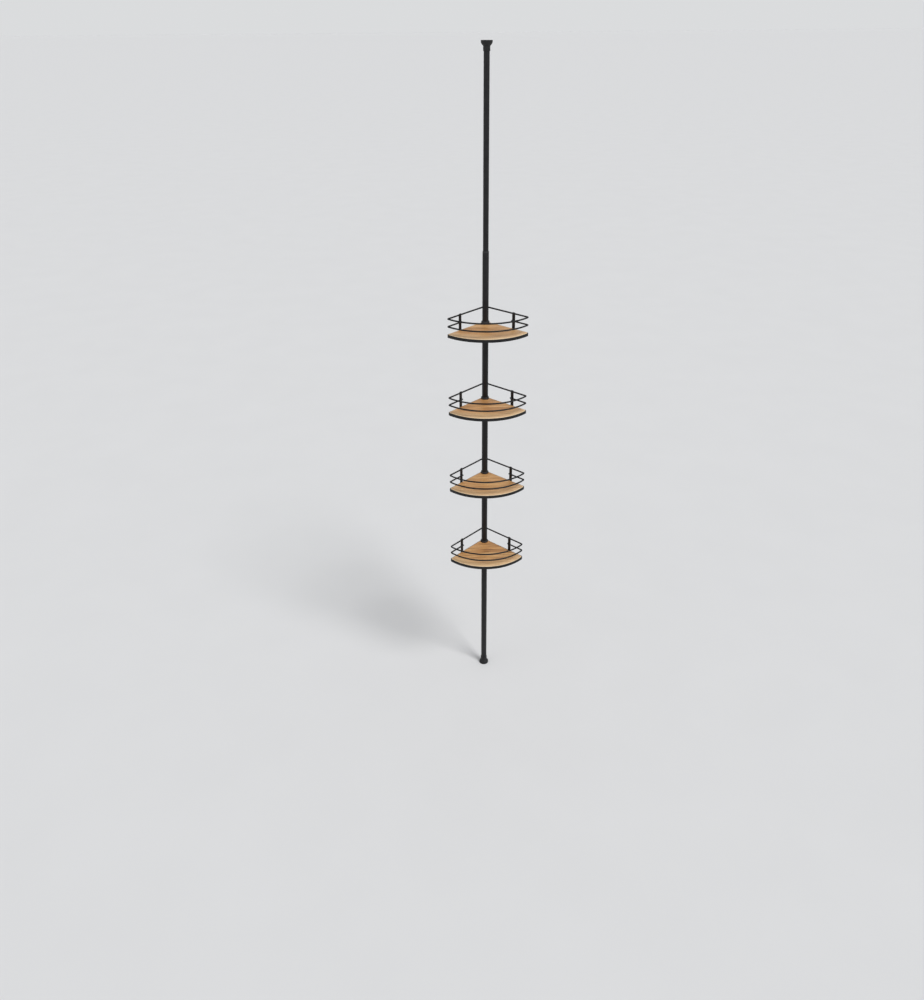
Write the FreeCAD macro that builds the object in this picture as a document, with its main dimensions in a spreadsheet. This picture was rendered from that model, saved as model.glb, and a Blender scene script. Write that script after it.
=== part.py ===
"""Telescopic shower caddy: a floor-to-ceiling tension pole that carries four corner shelves.

Frame: origin on the pole's axis at floor level, +Z up, the shelves' round fronts towards -Y and
the room's corner towards +Y. Shelves are numbered from the lowest. Each shelf's pieces are drawn
around the pole's axis with z = 0 on the top of its board, and are lifted by their Placement.
Every dimension is in millimetres or degrees and lives in the spreadsheet "Sizes".
"""
import FreeCAD, Part
import math
import os
import re

import Sketcher

SIZES = [
    ("total_height", 2400, "floor face to ceiling face"),
    ("pole_diameter", 22, "outer tube"),
    ("pole_wall", 0.8, "wall of every tube"),
    ("slider_diameter", 19, "inner telescopic tube"),
    ("running_gap", 0.05, "radial play of every fit that moves"),
    ("joint_low", 600, "height of the lower tube joint"),
    ("joint_high", 1200, "height of the upper tube joint"),
    ("mouth_height", 1750, "top end of the outer tube"),
    ("joiner_length", 80, "sleeve inside each tube joint"),
    ("joiner_wall", 1.2, "wall of that sleeve"),
    ("foot_diameter", 37, "rubber foot, widest"),
    ("foot_rim_height", 8, "upright rim of the foot"),
    ("foot_flare_height", 17, "top of the foot's flare"),
    ("foot_height", 31, "top of the foot's sleeve"),
    ("foot_floor", 4, "rubber under the tube"),
    ("foot_sleeve_wall", 1.6, "rubber around the tube"),
    ("foot_shoulder", 12, "rounding between the rim and the flare"),
    ("foot_neck", 1.5, "rounding between the flare and the sleeve"),
    ("foot_lip", 0.7, "rounding of the foot's outer edges"),
    ("groove_inner_diameter", 18, "grip groove in the resting face"),
    ("groove_outer_diameter", 25, "grip groove in the resting face"),
    ("groove_depth", 1, "grip groove in the resting face"),
    ("plug_flange", 2, "flange of a tube end plug"),
    ("plug_length", 16, "tube end plug"),
    ("plug_cup_diameter", 13, "hollow of a tube end plug"),
    ("plug_floor", 1, "plug's cup above its flange"),
    ("bush_flange", 3, "guide bush above the mouth"),
    ("bush_length", 33, "guide bush, whole"),
    ("spring_bottom", 1560, "face that the spring stands on"),
    ("spring_length", 80, "spring as fitted"),
    ("spring_diameter", 16, "centre line of the coil"),
    ("spring_wire", 2, "spring wire"),
    ("spring_turns", 8, "number of turns"),
    ("seat_length", 12, "spring seat puck"),
    ("seat_boss_diameter", 12, "boss inside the spring"),
    ("seat_boss_height", 8, "boss inside the spring"),
    ("piston_head", 4, "head of the sliding tube's plug"),
    ("level_1", 602, "top of the lowest board"),
    ("level_2", 908, "top of the second board"),
    ("level_3", 1214, "top of the third board"),
    ("level_4", 1501, "top of the highest board"),
    ("side_reach", 17, "pole axis to the rim's outer face on a wall side"),
    ("front_radius", 182, "pole axis to the rim's outer face at the front"),
    ("corner_radius", 8, "outline's front corners"),
    ("apex_radius", 12, "outline's back corner"),
    ("rim_thickness", 2.5, "flat bar of the rim"),
    ("rim_height", 10, "flat bar of the rim"),
    ("board_proud", 2, "board above the rim"),
    ("board_thickness", 10, "wooden board"),
    ("board_gap", 0.3, "board to rim"),
    ("board_easing", 1.8, "rounded top edge of the board"),
    ("hub_diameter", 29, "steel hub, touches the rim's two wall sides"),
    ("hub_length", 17, "steel hub, its top flush with the board's"),
    ("notch_gap", 0.3, "board to hub"),
    ("ring_height", 6, "visible collar on the hub"),
    ("ring_rounding", 0.8, "collar's top edge"),
    ("wedge_low_diameter", 26.4, "wedge sleeve at the hub's bottom"),
    ("wedge_high_diameter", 25.4, "wedge sleeve at the hub's top"),
    ("wedge_flange_diameter", 28.6, "flange under the hub"),
    ("wedge_flange", 3, "thickness of that flange"),
    ("wedge_top", 7.5, "wedge sleeve above the board"),
    ("wedge_slit", 0.8, "gap between the two half shells"),
    ("rail_wire", 5.5, "wire of both rails"),
    ("top_rail_rise", 53, "centre of the top rail above the board"),
    ("lower_rail_rise", 26, "centre of the lower rail above the board"),
    ("upright_reach", 112, "pole axis to upright, along the wall side"),
    ("upright_width", 12, "flat upright"),
    ("upright_thickness", 2.5, "flat upright"),
    ("upright_corner", 3.3, "rounded top corners of an upright"),
    ("bar_angle", 32, "support bar off the shelf's centre line"),
    ("bar_width", 14, "support bar"),
    ("bar_thickness", 2, "support bar"),
    ("bar_start", 13.3, "inner end of a support bar"),
    ("screw_near", 55, "inner screw from the pole axis"),
    ("screw_far", 150, "outer screw from the pole axis"),
    ("screw_diameter", 3.5, "screw shank"),
    ("screw_bite", 7, "screw inside the board"),
    ("screw_head_diameter", 7, "screw head"),
    ("screw_head_height", 2.2, "screw head"),
    ("screw_dome", 1, "rounded edge of the screw head"),
    ("recess_length", 4, "cross recess in the screw head"),
    ("recess_width", 1, "cross recess in the screw head"),
    ("recess_depth", 1.2, "cross recess in the screw head"),
]
NAMES = {name for name, value, meaning in SIZES}
SHELVES = (1, 2, 3, 4)
FULL_TURN = 360
HALF_TURN = 180
WALL_ANGLE = 135
TOLERANCE = 0.02
POLE = "pole_diameter / 2"
BORE = "(pole_diameter / 2 - pole_wall)"
SLIDER = "slider_diameter / 2"
SLIDER_BORE = "(slider_diameter / 2 - pole_wall)"
TUBE_START = "(foot_floor + plug_flange)"
SLIDER_START = "(spring_bottom + spring_length + piston_head)"
RIM_BOTTOM = "(board_proud + rim_height)"

doc = FreeCAD.newDocument("ShowerCaddy")
parts = []


def vector(x, y, z=0.0):
    return FreeCAD.Vector(x, y, z)


def make_sheet():
    sheet = doc.addObject("Spreadsheet::Sheet", "Sizes")
    for row, (name, value, meaning) in enumerate(SIZES, start=1):
        sheet.set(f"A{row}", name)
        sheet.set(f"B{row}", str(value))
        sheet.setAlias(f"B{row}", name)
        sheet.set(f"C{row}", meaning)
    doc.recompute()
    return sheet


def formula(text):
    """An expression in which every size name is read from the sheet."""
    return re.sub(r"[a-z]\w*", lambda word: sheet_name(word.group()), text)


def sheet_name(word):
    if word in NAMES:
        return "Sizes." + word
    return word


def number(text):
    """The present value of an expression."""
    return float(sheet.evalExpression(formula(text).replace("Sizes.", "")))


def add_part(kind, label):
    part = doc.addObject(kind, label)
    part.Label = label
    parts.append(part)
    return part


def lift(part, height):
    part.setExpression("Placement.Base.z", formula(height))


# ---------------------------------------------------------------- sketches

def origin_plane(body, role):
    return next(feature for feature in body.Origin.OriginFeatures if feature.Role == role)


def new_sketch(body, name, role, height="0"):
    sketch = body.newObject("Sketcher::SketchObject", f"{body.Name}_{name}")
    sketch.AttachmentSupport = [(origin_plane(body, role), "")]
    sketch.MapMode = "FlatFace"
    sketch.setExpression("AttachmentOffset.Base.z", formula(height))
    return sketch


def bind(sketch, kind, *members, text):
    """Add a dimension to a sketch and drive it by an expression."""
    index = sketch.addConstraint(Sketcher.Constraint(kind, *members, number(text)))
    sketch.setExpression(f"Constraints[{index}]", formula(text))


def polygon(sketch, points):
    """A closed polygon whose corners are pairs of expressions."""
    corners = [vector(number(x), number(y)) for x, y in points]
    following = corners[1:] + corners[:1]
    lines = [
        sketch.addGeometry(Part.LineSegment(start, end), False)
        for start, end in zip(corners, following)
    ]
    for line, after in zip(lines, lines[1:] + lines[:1]):
        sketch.addConstraint(Sketcher.Constraint("Coincident", line, 2, after, 1))
    for line, (x, y) in zip(lines, points):
        bind(sketch, "DistanceX", -1, 1, line, 1, text=x)
        bind(sketch, "DistanceY", -1, 1, line, 1, text=y)


def circle(sketch, x, y, radius):
    shape = Part.Circle(vector(number(x), number(y)), vector(0, 0, 1), number(radius))
    index = sketch.addGeometry(shape, False)
    bind(sketch, "DistanceX", -1, 1, index, 3, text=x)
    bind(sketch, "DistanceY", -1, 1, index, 3, text=y)
    bind(sketch, "Radius", index, text=radius)


def tangent(sketch, first, second):
    """Join the end of one curve to the start of the next, in line with it."""
    sketch.addConstraint(Sketcher.Constraint("Tangent", first, 2, second, 1))


class Outline:
    """The shelf's plan, a quarter round with rounded corners, drawn inside its outer face."""

    def __init__(self, inset):
        self.side = f"side_reach - {inset}"
        self.front = f"front_radius - {inset}"
        self.corner = f"corner_radius - {inset}"
        self.apex = f"apex_radius - {inset}"
        side, front = number(self.side), number(self.front)
        corner, apex = number(self.corner), number(self.apex)
        half = math.sqrt(0.5)
        outwards, along = vector(half, half), vector(half, -half)
        run = math.sqrt((front - corner) ** 2 - (side - corner) ** 2)
        self.corner_centre = outwards * (side - corner) + along * run
        self.front_end = self.corner_centre * (front / (front - corner))
        self.side_end = outwards * side + along * run
        self.apex_centre = vector(0, (side - apex) / half)
        self.apex_end = self.apex_centre + outwards * apex
        self.apex_top = self.apex_centre + vector(0, apex)
        self.front_middle = vector(0, -front)

    def arc(self, sketch, centre, start, end, radius):
        """An arc that runs anticlockwise about its centre."""
        first = math.atan2(start.y - centre.y, start.x - centre.x)
        last = math.atan2(end.y - centre.y, end.x - centre.x)
        if last < first:
            last += 2 * math.pi
        round_shape = Part.Circle(centre, vector(0, 0, 1), number(radius))
        index = sketch.addGeometry(Part.ArcOfCircle(round_shape, first, last), False)
        bind(sketch, "Radius", index, text=radius)
        return index

    def closed(self, sketch):
        """The whole outline: front, right corner, right side, apex, left side, left corner."""
        centre = vector(0, 0)
        front = self.arc(sketch, centre, flip(self.front_end), self.front_end, self.front)
        right = self.arc(sketch, self.corner_centre, self.front_end, self.side_end, self.corner)
        side = sketch.addGeometry(Part.LineSegment(self.side_end, self.apex_end), False)
        apex = self.arc(sketch, self.apex_centre, self.apex_end, flip(self.apex_end), self.apex)
        other = Part.LineSegment(flip(self.apex_end), flip(self.side_end))
        other_side = sketch.addGeometry(other, False)
        left = self.arc(sketch, flip(self.corner_centre), flip(self.side_end),
                        flip(self.front_end), self.corner)
        loop = [front, right, side, apex, other_side, left]
        for first, second in zip(loop, loop[1:] + loop[:1]):
            tangent(sketch, first, second)
        sketch.addConstraint(Sketcher.Constraint("Coincident", front, 3, -1, 1))
        sketch.addConstraint(Sketcher.Constraint("Perpendicular", side, other_side))
        sketch.addConstraint(Sketcher.Constraint("PointOnObject", apex, 3, -2))
        bind(sketch, "Distance", -1, 1, side, text=self.side)
        bind(sketch, "Distance", -1, 1, other_side, text=self.side)

    def half(self, sketch, stop=None):
        """The right half from the front's middle, to the apex or to a stop along the side."""
        centre = vector(0, 0)
        front = self.arc(sketch, centre, self.front_middle, self.front_end, self.front)
        right = self.arc(sketch, self.corner_centre, self.front_end, self.side_end, self.corner)
        side_stop = self.apex_end
        if stop:
            side_stop = vector(number(self.x_at(stop)), number(self.y_at(stop)))
        side = sketch.addGeometry(Part.LineSegment(self.side_end, side_stop), False)
        tangent(sketch, front, right)
        tangent(sketch, right, side)
        sketch.addConstraint(Sketcher.Constraint("Coincident", front, 3, -1, 1))
        sketch.addConstraint(Sketcher.Constraint("PointOnObject", front, 1, -2))
        sketch.addConstraint(Sketcher.Constraint("Angle", side, math.radians(WALL_ANGLE)))
        if stop:
            bind(sketch, "DistanceX", -1, 1, side, 2, text=self.x_at(stop))
            bind(sketch, "DistanceY", -1, 1, side, 2, text=self.y_at(stop))
            return
        apex = self.arc(sketch, self.apex_centre, self.apex_end, self.apex_top, self.apex)
        tangent(sketch, side, apex)
        sketch.addConstraint(Sketcher.Constraint("PointOnObject", apex, 3, -2))
        sketch.addConstraint(Sketcher.Constraint("PointOnObject", apex, 2, -2))
        bind(sketch, "Distance", -1, 1, side, text=self.side)

    def x_at(self, stop):
        return f"({self.side} + {stop}) / sqrt(2)"

    def y_at(self, stop):
        return f"({self.side} - ({stop})) / sqrt(2)"


def flip(point):
    """The mirror image across the shelf's centre plane."""
    return vector(-point.x, point.y)


# ---------------------------------------------------------------- features

def revolve(body, points):
    """Turn a profile of (radius, height) expressions around the pole's axis."""
    sketch = new_sketch(body, "profile", "XZ_Plane")
    polygon(sketch, points)
    turn = body.newObject("PartDesign::Revolution", body.Name + "_turn")
    turn.Profile = sketch
    turn.ReferenceAxis = (sketch, ["V_Axis"])
    turn.Angle = FULL_TURN
    doc.recompute()
    return turn


def pad(body, name, sketch, length):
    feature = body.newObject("PartDesign::Pad", f"{body.Name}_{name}")
    feature.Profile = sketch
    feature.setExpression("Length", formula(length))
    doc.recompute()
    return feature


def pocket(body, name, sketch, length, upwards):
    """Cut a sketch into the body and make sure that it took something away."""
    before = body.Shape.Volume
    feature = body.newObject("PartDesign::Pocket", f"{body.Name}_{name}")
    feature.Profile = sketch
    feature.setExpression("Length", formula(length))
    feature.Reversed = upwards
    doc.recompute()
    if feature.Shape.Volume >= before:
        raise RuntimeError(f"{body.Label}: {name} cuts nothing")
    return feature


def mirror(body, feature):
    copy = body.newObject("PartDesign::Mirrored", feature.Name + "_mirrored")
    copy.Originals = [feature]
    copy.MirrorPlane = (origin_plane(body, "YZ_Plane"), [""])
    body.Tip = copy
    doc.recompute()
    return copy


def fillet(body, name, feature, chosen, radius):
    """Round the edges of a feature that a test picks."""
    names = [
        f"Edge{index}" for index, edge in enumerate(feature.Shape.Edges, start=1) if chosen(edge)
    ]
    if not names:
        raise RuntimeError(f"{body.Label}: {name} finds no edge")
    rounding = body.newObject("PartDesign::Fillet", f"{body.Name}_{name}")
    rounding.Base = (feature, names)
    rounding.setExpression("Radius", formula(radius))
    doc.recompute()
    return rounding


def is_ring(edge, radius, height):
    """True for a full circle of this radius at this height."""
    return is_level(edge, height) and abs(edge.BoundBox.XMax - radius) < TOLERANCE


def is_level(edge, height):
    """True for an edge that lies flat at this height."""
    box = edge.BoundBox
    return abs(box.ZMin - height) + abs(box.ZMax - height) < TOLERANCE


# ---------------------------------------------------------------- pole

def tube(label, radius, wall, start, end):
    body = add_part("PartDesign::Body", label)
    inside = f"{radius} - {wall}"
    length = f"{end} - ({start})"
    revolve(body, [(inside, "0"), (radius, "0"), (radius, length), (inside, length)])
    lift(body, start)


def foot(label, tube_radius):
    """A rubber foot: its resting face at z = 0, a tube in its socket above."""
    body = add_part("PartDesign::Body", label)
    wide = "foot_diameter / 2"
    sleeve = f"{tube_radius} + foot_sleeve_wall"
    groove_in, groove_out = "groove_inner_diameter / 2", "groove_outer_diameter / 2"
    turn = revolve(body, [
        ("0", "0"), (groove_in, "0"), (groove_in, "groove_depth"), (groove_out, "groove_depth"),
        (groove_out, "0"), (wide, "0"), (wide, "foot_rim_height"),
        (sleeve, "foot_flare_height"), (sleeve, "foot_height"), (tube_radius, "foot_height"),
        (tube_radius, "foot_floor"), ("0", "foot_floor"),
    ])
    wide_value, sleeve_value = number(wide), number(sleeve)
    rim_value, flare_value = number("foot_rim_height"), number("foot_flare_height")
    shoulder = fillet(body, "shoulder", turn,
                      lambda edge: is_ring(edge, wide_value, rim_value), "foot_shoulder")
    neck = fillet(body, "neck", shoulder,
                  lambda edge: is_ring(edge, sleeve_value, flare_value), "foot_neck")
    top_value = number("foot_height")
    fillet(body, "lip", neck,
           lambda edge: is_ring(edge, wide_value, 0) or is_ring(edge, sleeve_value, top_value),
           "foot_lip")
    return body


def plug(label, radius, bore):
    """A moulded plug for a tube's end, its flange at z = 0 and its cup above."""
    body = add_part("PartDesign::Body", label)
    cup = "plug_cup_diameter / 2"
    floor = "plug_flange + plug_floor"
    revolve(body, [
        ("0", "0"), (radius, "0"), (radius, "plug_flange"), (bore, "plug_flange"),
        (bore, "plug_length"), (cup, "plug_length"), (cup, floor), ("0", floor),
    ])
    return body


def turn_over(body):
    """Set a piece upside down under the ceiling."""
    body.Placement = FreeCAD.Placement(vector(0, 0), FreeCAD.Rotation(vector(1, 0), HALF_TURN))


def make_pole():
    foot("floor_foot", POLE)
    lift(plug("foot_plug", POLE, BORE), "foot_floor")
    tube("lower_tube", POLE, "pole_wall", TUBE_START, "joint_low")
    tube("middle_tube", POLE, "pole_wall", "joint_low", "joint_high")
    tube("upper_tube", POLE, "pole_wall", "joint_high", "mouth_height")
    for label, height in (("lower_joiner", "joint_low"), ("upper_joiner", "joint_high")):
        bottom, top = f"{height} - joiner_length / 2", f"{height} + joiner_length / 2"
        tube(label, BORE, "joiner_wall", bottom, top)


def make_guide_bush():
    body = add_part("PartDesign::Body", "guide_bush")
    inside = f"{SLIDER} + running_gap"
    spigot = "bush_flange - bush_length"
    revolve(body, [
        (inside, spigot), (BORE, spigot), (BORE, "0"), (POLE, "0"), (POLE, "bush_flange"),
        (inside, "bush_flange"),
    ])
    lift(body, "mouth_height")


def make_spring_seat():
    body = add_part("PartDesign::Body", "spring_seat")
    boss = "seat_boss_diameter / 2"
    revolve(body, [
        ("0", "-seat_length"), (BORE, "-seat_length"), (BORE, "0"), (boss, "0"),
        (boss, "seat_boss_height"), ("0", "seat_boss_height"),
    ])
    lift(body, "spring_bottom")


def make_spring():
    """A round wire swept along a helix, between the seat and the sliding tube's plug."""
    helix = doc.addObject("Part::Helix", "spring_line")
    rise = "(spring_length - spring_wire)"
    helix.setExpression("Radius", formula("spring_diameter / 2"))
    helix.setExpression("Height", formula(rise))
    helix.setExpression("Pitch", formula(f"{rise} / spring_turns"))
    wire = doc.addObject("Part::Circle", "spring_section")
    wire.setExpression("Radius", formula("spring_wire / 2"))
    upright = FreeCAD.Rotation(vector(1, 0), HALF_TURN / 2)
    wire.Placement = FreeCAD.Placement(vector(0, 0), upright)
    wire.setExpression("Placement.Base.x", formula("spring_diameter / 2"))
    spring = add_part("Part::Sweep", "tension_spring")
    spring.Spine = (helix, [])
    spring.Sections = [wire]
    spring.Solid = True
    spring.Frenet = True
    lift(spring, "spring_bottom + spring_wire / 2")


def make_sliding_tube():
    tube("telescopic_tube", SLIDER, "pole_wall", SLIDER_START, f"total_height - {TUBE_START}")
    body = add_part("PartDesign::Body", "telescopic_plug")
    head = f"{BORE} - running_gap"
    cup = "plug_cup_diameter / 2"
    revolve(body, [
        ("0", "-piston_head"), (head, "-piston_head"), (head, "0"), (SLIDER_BORE, "0"),
        (SLIDER_BORE, "plug_length"), (cup, "plug_length"), (cup, "plug_floor"),
        ("0", "plug_floor"),
    ])
    lift(body, SLIDER_START)
    top_plug = plug("ceiling_plug", SLIDER, SLIDER_BORE)
    turn_over(top_plug)
    lift(top_plug, "total_height - foot_floor")
    top_foot = foot("ceiling_foot", SLIDER)
    turn_over(top_foot)
    lift(top_foot, "total_height")


# ---------------------------------------------------------------- shelf

def make_wedge_sleeve(label):
    """Two half shells with a conical outside, which the shelf's hub drops over."""
    body = add_part("PartDesign::Body", label)
    inside = f"{POLE} + running_gap"
    low, high = "wedge_low_diameter / 2", "wedge_high_diameter / 2"
    flange, bottom = "wedge_flange_diameter / 2", "-hub_length - wedge_flange"
    revolve(body, [
        (inside, bottom), (flange, bottom), (flange, "-hub_length"), (low, "-hub_length"),
        (high, "0"), (high, "wedge_top"), (inside, "wedge_top"),
    ])
    slit = new_sketch(body, "slit", "XY_Plane", "wedge_top")
    polygon(slit, [
        ("-wedge_slit / 2", "-wedge_flange_diameter"), ("wedge_slit / 2", "-wedge_flange_diameter"),
        ("wedge_slit / 2", "wedge_flange_diameter"), ("-wedge_slit / 2", "wedge_flange_diameter"),
    ])
    pocket(body, "split", slit, "wedge_top + hub_length + wedge_flange", upwards=False)
    return body


def make_hub(label):
    """The steel hub: a tube with a conical bore, welded between the rim's wall sides."""
    body = add_part("PartDesign::Body", label)
    low, high = "wedge_low_diameter / 2 + running_gap", "wedge_high_diameter / 2 + running_gap"
    outside = "hub_diameter / 2"
    revolve(body, [
        (low, "-hub_length"), (outside, "-hub_length"), (outside, "0"), (high, "0"),
    ])
    return body


def make_ring(label):
    """The collar that stands on the hub, around the wedge sleeve's top."""
    body = add_part("PartDesign::Body", label)
    outside, bore = "hub_diameter / 2", "wedge_high_diameter / 2 + notch_gap"
    turn = revolve(body, [
        (bore, "0"), (outside, "0"), (outside, "ring_height"), (bore, "ring_height"),
    ])
    radius, height = number(outside), number("ring_height")
    fillet(body, "edge", turn, lambda edge: is_ring(edge, radius, height), "ring_rounding")
    return body


def screw_places():
    """Each screw's x and y, two on each support bar."""
    return [
        (f"{sign} {reach} * sin(bar_angle * 1 deg)", f"-{reach} * cos(bar_angle * 1 deg)")
        for sign in ("-", "+") for reach in ("screw_near", "screw_far")
    ]


def make_board(label):
    body = add_part("PartDesign::Body", label)
    plan = new_sketch(body, "plan", "XY_Plane", "-board_thickness")
    Outline("(rim_thickness + board_gap)").closed(plan)
    slab = pad(body, "slab", plan, "board_thickness")
    fillet(body, "easing", slab, lambda edge: is_level(edge, 0), "board_easing")
    clear = "hub_diameter / 2 + notch_gap"
    hole = new_sketch(body, "hub_hole", "XY_Plane")
    circle(hole, "0", "0", clear)
    pocket(body, "hub_cut", hole, "board_thickness", upwards=False)
    mouth = new_sketch(body, "notch", "XY_Plane")
    behind = "side_reach * 2"
    polygon(mouth, [(f"-({clear})", "0"), (clear, "0"), (clear, behind), (f"-({clear})", behind)])
    pocket(body, "notch_cut", mouth, "board_thickness", upwards=False)
    pilots = new_sketch(body, "pilots", "XY_Plane", "-board_thickness")
    for x, y in screw_places():
        circle(pilots, x, y, "screw_diameter / 2")
    pocket(body, "pilot_holes", pilots, "screw_bite", upwards=True)
    return body


def make_rim(label):
    body = add_part("PartDesign::Body", label)
    plan = new_sketch(body, "plan", "XY_Plane", f"-{RIM_BOTTOM}")
    Outline("0").closed(plan)
    Outline("rim_thickness").closed(plan)
    pad(body, "band", plan, "rim_height")
    return body


def make_support_bars(label):
    """Two flat bars under the board, from the hub to the front of the rim."""
    body = add_part("PartDesign::Body", label)
    plan = new_sketch(body, "plan", "XY_Plane", f"-{RIM_BOTTOM}")
    inner = "front_radius - rim_thickness"
    outer_end = f"sqrt(({inner}) ^ 2 - bar_width ^ 2 / 4)"
    for sign in ("-", "+"):
        corners = [("bar_start", "-"), (outer_end, "-"), (outer_end, "+"), ("bar_start", "+")]
        polygon(plan, [bar_point(sign, reach, edge) for reach, edge in corners])
    pad(body, "bars", plan, "bar_thickness")
    hub = new_sketch(body, "hub", "XY_Plane", f"bar_thickness - {RIM_BOTTOM}")
    circle(hub, "0", "0", "hub_diameter / 2")
    pocket(body, "hub_cut", hub, "bar_thickness", upwards=False)
    holes = new_sketch(body, "holes", "XY_Plane", f"bar_thickness - {RIM_BOTTOM}")
    for x, y in screw_places():
        circle(holes, x, y, "screw_diameter / 2")
    pocket(body, "screw_holes", holes, "bar_thickness", upwards=False)
    return body


def bar_point(sign, reach, edge):
    """A point of a support bar: how far out along it, and on which of its edges."""
    sine, cosine = "sin(bar_angle * 1 deg)", "cos(bar_angle * 1 deg)"
    x = f"{sign} ({reach} * {sine} {edge} bar_width / 2 * {cosine})"
    y = f"-{reach} * {cosine} {edge} bar_width / 2 * {sine}"
    return x, y


def make_screws(label):
    """Four pan-head wood screws with cross recesses, driven up through the bars."""
    body = add_part("PartDesign::Body", label)
    bottom = f"-{RIM_BOTTOM}"
    shanks = new_sketch(body, "shanks", "XY_Plane", bottom)
    heads = new_sketch(body, "heads", "XY_Plane", f"{bottom} - screw_head_height")
    for x, y in screw_places():
        circle(shanks, x, y, "screw_diameter / 2")
        circle(heads, x, y, "screw_head_diameter / 2")
    pad(body, "shank", shanks, "bar_thickness + screw_bite")
    head = pad(body, "head", heads, "screw_head_height")
    low = number(f"{bottom} - screw_head_height")
    fillet(body, "dome", head, lambda edge: is_level(edge, low), "screw_dome")
    for name, wide, deep in (("slot", "recess_length", "recess_width"),
                             ("cross", "recess_width", "recess_length")):
        recess = new_sketch(body, name, "XY_Plane", f"{bottom} - screw_head_height")
        for x, y in screw_places():
            left, right = f"{x} - {wide} / 2", f"{x} + {wide} / 2"
            near, far = f"{y} - {deep} / 2", f"{y} + {deep} / 2"
            polygon(recess, [(left, near), (right, near), (right, far), (left, far)])
        pocket(body, name + "_cut", recess, "recess_depth", upwards=True)
    return body


def make_rail(label, rise, stop=None):
    """Bent wire over the outline: half of it swept from the front's middle, then mirrored."""
    body = add_part("PartDesign::Body", label)
    inset = "rail_wire / 2"
    path = new_sketch(body, "path", "XY_Plane", rise)
    Outline(inset).half(path, stop)
    section = new_sketch(body, "section", "YZ_Plane")
    circle(section, f"{inset} - front_radius", rise, inset)
    half = body.newObject("PartDesign::AdditivePipe", f"{body.Name}_half")
    half.Profile = section
    half.Spine = path
    doc.recompute()
    mirror(body, half)
    return body


def make_uprights(label):
    """Two flat straps on the rim's wall sides, which carry both rails."""
    body = add_part("PartDesign::Body", label)
    plan = new_sketch(body, "plan", "XY_Plane", f"-{RIM_BOTTOM}")
    near, far = "upright_reach - upright_width / 2", "upright_reach + upright_width / 2"
    inside, outside = "side_reach", "side_reach + upright_thickness"
    corners = [(near, inside), (far, inside), (far, outside), (near, outside)]
    polygon(plan, [
        (f"({out} + {along}) / sqrt(2)", f"({out} - ({along})) / sqrt(2)")
        for along, out in corners
    ])
    top = "top_rail_rise + rail_wire / 2"
    strap = pad(body, "strap", plan, f"{top} + {RIM_BOTTOM}")
    pair = mirror(body, strap)
    height, thickness = number(top), number("upright_thickness")
    fillet(body, "end", pair,
           lambda edge: is_level(edge, height) and abs(edge.Length - thickness) < TOLERANCE,
           "upright_corner")
    return body


def make_shelf(number_from_floor):
    rail_end = "upright_reach - upright_width / 2"
    pieces = [
        make_wedge_sleeve(f"wedge_sleeve_{number_from_floor}"),
        make_hub(f"shelf_hub_{number_from_floor}"),
        make_ring(f"hub_ring_{number_from_floor}"),
        make_board(f"shelf_board_{number_from_floor}"),
        make_rim(f"shelf_rim_{number_from_floor}"),
        make_support_bars(f"support_bars_{number_from_floor}"),
        make_screws(f"board_screws_{number_from_floor}"),
        make_rail(f"top_rail_{number_from_floor}", "top_rail_rise"),
        make_rail(f"lower_rail_{number_from_floor}", "lower_rail_rise", stop=rail_end),
        make_uprights(f"rail_uprights_{number_from_floor}"),
    ]
    for piece in pieces:
        lift(piece, f"level_{number_from_floor}")


# ---------------------------------------------------------------- checks and files

def check_and_export():
    doc.recompute()
    for item in doc.Objects:
        if "Invalid" in item.State or "Error" in item.State:
            raise RuntimeError(f"{item.Label}: {item.State}")
    for part in parts:
        if part.Shape.isNull() or not part.Shape.isValid():
            raise RuntimeError(f"{part.Label}: bad shape")
    os.makedirs("parts", exist_ok=True)
    for part in parts:
        part.Shape.exportStep(f"parts/{part.Label}.step")
        box = part.Shape.BoundBox
        print(f"{part.Label:18} {len(part.Shape.Solids)} solid(s) {part.Shape.Volume:10.0f} mm3"
              f"  z {box.ZMin:8.2f} to {box.ZMax:8.2f}")


sheet = make_sheet()
make_pole()
make_guide_bush()
make_spring_seat()
make_spring()
make_sliding_tube()
for shelf in SHELVES:
    make_shelf(shelf)
check_and_export()
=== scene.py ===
"""The looks of a telescopic shower caddy: turned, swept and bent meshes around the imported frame.

Everything is in metres in the row frame: the pole's axis is Z and the shelves' round fronts face -Y.
Shelves are numbered from the lowest. Places come from the frame; sizes that only the looks need
are the named values below. A height inside a shelf counts from the top of its board.
"""

import math

import bmesh
import bpy
from mathutils import Matrix, Vector


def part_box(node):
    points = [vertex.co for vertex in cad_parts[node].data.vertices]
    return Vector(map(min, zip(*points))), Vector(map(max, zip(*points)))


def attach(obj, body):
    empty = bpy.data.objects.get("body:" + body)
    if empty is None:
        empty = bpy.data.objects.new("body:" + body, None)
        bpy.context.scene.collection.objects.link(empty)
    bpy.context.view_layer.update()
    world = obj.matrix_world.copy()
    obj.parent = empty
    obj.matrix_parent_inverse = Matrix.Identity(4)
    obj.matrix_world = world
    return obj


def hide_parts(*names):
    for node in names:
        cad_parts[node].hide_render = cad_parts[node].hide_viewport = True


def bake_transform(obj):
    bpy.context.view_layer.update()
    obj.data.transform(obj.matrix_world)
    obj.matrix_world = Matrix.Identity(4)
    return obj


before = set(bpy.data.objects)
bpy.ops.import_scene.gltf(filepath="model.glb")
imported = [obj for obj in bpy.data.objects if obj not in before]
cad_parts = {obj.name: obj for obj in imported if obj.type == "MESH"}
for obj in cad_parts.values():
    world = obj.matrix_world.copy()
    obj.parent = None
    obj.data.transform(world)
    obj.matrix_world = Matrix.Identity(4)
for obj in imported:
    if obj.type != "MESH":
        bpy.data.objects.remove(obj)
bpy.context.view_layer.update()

MM = 0.001
HALF_ROOT = math.sqrt(0.5)
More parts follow.
